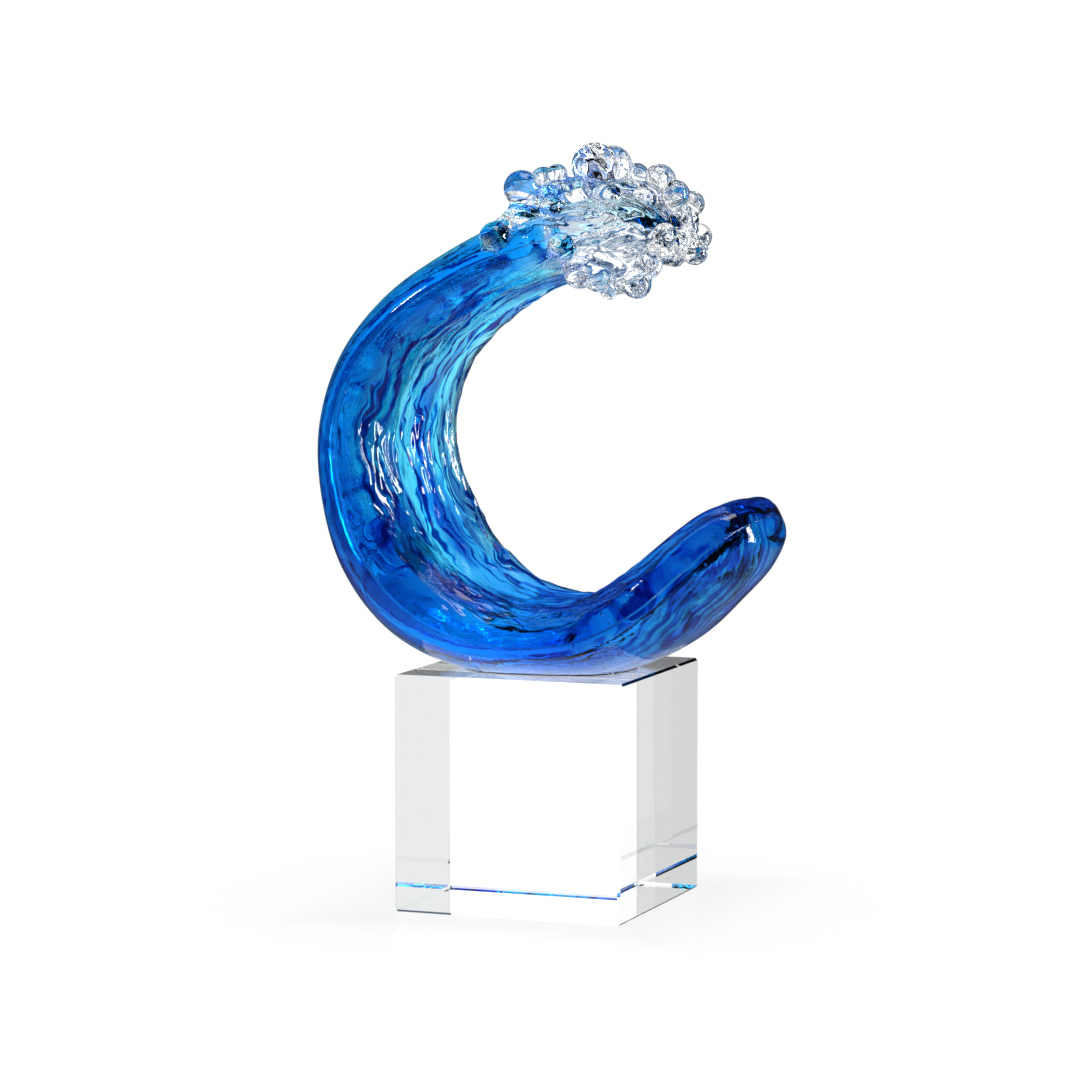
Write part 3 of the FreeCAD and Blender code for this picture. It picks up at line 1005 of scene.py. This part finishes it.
class GLASSWAVE_OT_colours(bpy.types.Operator):
    """Finish the coloured layers inside the wave"""

    bl_idname = "glasswave.colours"
    bl_label = "Coloured layers"

    def execute(self, context):
        settings = context.scene.glass_wave
        # the layers don't bend light, because they are one lump of glass with the casing
        core, _tree, _shader = glass("cobalt_glass", ior=1.0, shadow=(1, 1, 1),
                                     absorb=(0.0, 0.85, 0.985), density=settings.core_blue)
        veil, _tree, _shader = glass("turquoise_glass", ior=1.0, tint=(0.85, 0.99, 1.0),
                                     shadow=(1, 1, 1))
        for node, material in (("cobalt_core", core), ("turquoise_veil", veil)):
            for slot in frame["nodes"][node].material_slots:
                slot.material = material
        return {"FINISHED"}


class GLASSWAVE_OT_bubbles(bpy.types.Operator):
    """Scatter seed bubbles in the wave's glass"""

    bl_idname = "glasswave.bubbles"
    bl_label = "Seed bubbles"

    def execute(self, context):
        settings = context.scene.glass_wave
        draw = random.Random(11)
        bm = bmesh.new()
        for _ in range(settings.bubbles):
            station = draw.choice((draw.uniform(1.4, 6.0), draw.uniform(6.0, 15.0)))
            middle, outward, half_t, half_w = spine_frame(np.array([station]))
            out = draw.uniform(-0.75, 0.80) * (half_t[0] - BUBBLE_DEPTH)
            side = max(-abs(draw.gauss(0.72, 0.22)), -0.96) * (half_w[0] - BUBBLE_DEPTH)
            side *= math.sqrt(1 - (out / half_t[0]) ** 2)
            spot = Vector(middle[0]) + Vector(outward[0]) * out + Vector((0, side, 0))
            if spot.z > FOOT_HEIGHT + BUBBLE_DEPTH:
                size = draw.uniform(*BUBBLE_SIZES) * MM
                add_ball(bm, spot, size, squash=(1, 1, draw.uniform(0.8, 1.5)), detail=2)
        # a bubble is a pocket in the glass, so its faces look inwards
        bmesh.ops.reverse_faces(bm, faces=bm.faces)
        mesh = bpy.data.meshes.new("seed_bubbles")
        bm.to_mesh(mesh)
        bm.free()
        mesh.shade_smooth()
        material, _tree, _shader = glass("bubble_skin")
        piece = add_piece("seed_bubbles", mesh, material)
        return {"FINISHED"}


class GLASSWAVE_OT_crest(bpy.types.Operator):
    """Build the crest's arms and drops of clear glass"""

    bl_idname = "glasswave.crest"
    bl_label = "Crest"

    def execute(self, context):
        settings = context.scene.glass_wave
        material = foam_material()
        meshes = {}
        for name in ARMS:
            meshes[name] = crest_mesh(name, settings.fusing, settings.fold_height)
            piece = add_piece("crest_" + name, meshes[name], material)
            nodes = [n for n in frame["nodes"] if n == f"crest_arm_{name}" or n.endswith("_" + name)]
            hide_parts(*nodes)
        meshes["wave"] = bpy.data.objects["wave_skin"].data
        trees = {name: tree_of(mesh) for name, mesh in meshes.items()}
        fused, _tree, _shader = glass("fused_glass", ior=1.0, shadow=(1, 1, 1))
        reach = Vector((REACH, WIDTH, WIDTH)) * 0.55
        low, high = crest_root() - reach, crest_root() + reach
        for name, mesh in meshes.items():
            others = [tree for other, tree in trees.items() if other != name]
            clear_joins(mesh, others, settings.fusing / 2, low, high, fused)
        return {"FINISHED"}


class GLASSWAVE_OT_block(bpy.types.Operator):
    """Finish the crystal block and the glue under the wave"""

    bl_idname = "glasswave.block"
    bl_label = "Crystal block"

    def execute(self, context):
        crystal, _tree, _shader = glass("crystal", ior=1.52, tint=(0.985, 0.995, 0.995),
                                        shadow=(0.93, 0.96, 0.97))
        glue, _tree, _shader = glass("clear_glue", ior=1.48, tint=(0.97, 0.98, 0.98),
                                     shadow=(0.97, 0.98, 0.98))
        for slot in frame["nodes"]["crystal_block"].material_slots:
            slot.material = crystal
        piece = add_piece("glue_layer", glue_mesh(), glue)
        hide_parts("glue_film")
        return {"FINISHED"}


class GLASSWAVE_OT_stage(bpy.types.Operator):
    """Set the camera, the floor, the world and the lamps"""

    bl_idname = "glasswave.stage"
    bl_label = "Stage"

    def execute(self, context):
        settings = context.scene.glass_stage
        add_camera()
        add_floor(settings)
        add_world()
        add_lamps(settings)
        context.scene.view_settings.view_transform = "Standard"
        context.scene.cycles.max_bounces = settings.bounces
        context.scene.cycles.transmission_bounces = settings.bounces
        return {"FINISHED"}


class GLASSWAVE_PT_panel(bpy.types.Panel):
    """Sidebar panel of the glass wave"""

    bl_idname = "GLASSWAVE_PT_panel"
    bl_label = "Glass Wave"
    bl_space_type = "VIEW_3D"
    bl_region_type = "UI"
    bl_category = "Glass Wave"

    def draw(self, context):
        layout = self.layout
        for group in (context.scene.glass_wave, context.scene.glass_stage):
            for name in group.__annotations__:
                layout.prop(group, name)
        for operator in STEPS:
            layout.operator(operator.bl_idname)


STEPS = (
    GLASSWAVE_OT_stage,
    GLASSWAVE_OT_block,
    GLASSWAVE_OT_wave,
    GLASSWAVE_OT_colours,
    GLASSWAVE_OT_bubbles,
    GLASSWAVE_OT_crest,
)
CLASSES = (WaveSettings, StageSettings, *STEPS, GLASSWAVE_PT_panel)


def register():
    for cls in CLASSES:
        bpy.utils.register_class(cls)
    bpy.types.Scene.glass_wave = bpy.props.PointerProperty(type=WaveSettings)
    bpy.types.Scene.glass_stage = bpy.props.PointerProperty(type=StageSettings)


def unregister():
    del bpy.types.Scene.glass_stage
    del bpy.types.Scene.glass_wave
    for cls in reversed(CLASSES):
        bpy.utils.unregister_class(cls)


def main():
    """Build every piece in order."""
    register()
    for spare in [o for o in bpy.data.objects if o.name in ("Cube", "Light", "Camera")]:
        bpy.data.objects.remove(spare)
    bpy.ops.glasswave.stage()
    bpy.ops.glasswave.block()
    bpy.ops.glasswave.wave()
    bpy.ops.glasswave.colours()
    bpy.ops.glasswave.bubbles()
    bpy.ops.glasswave.crest()


if __name__ == "__main__":
    main()
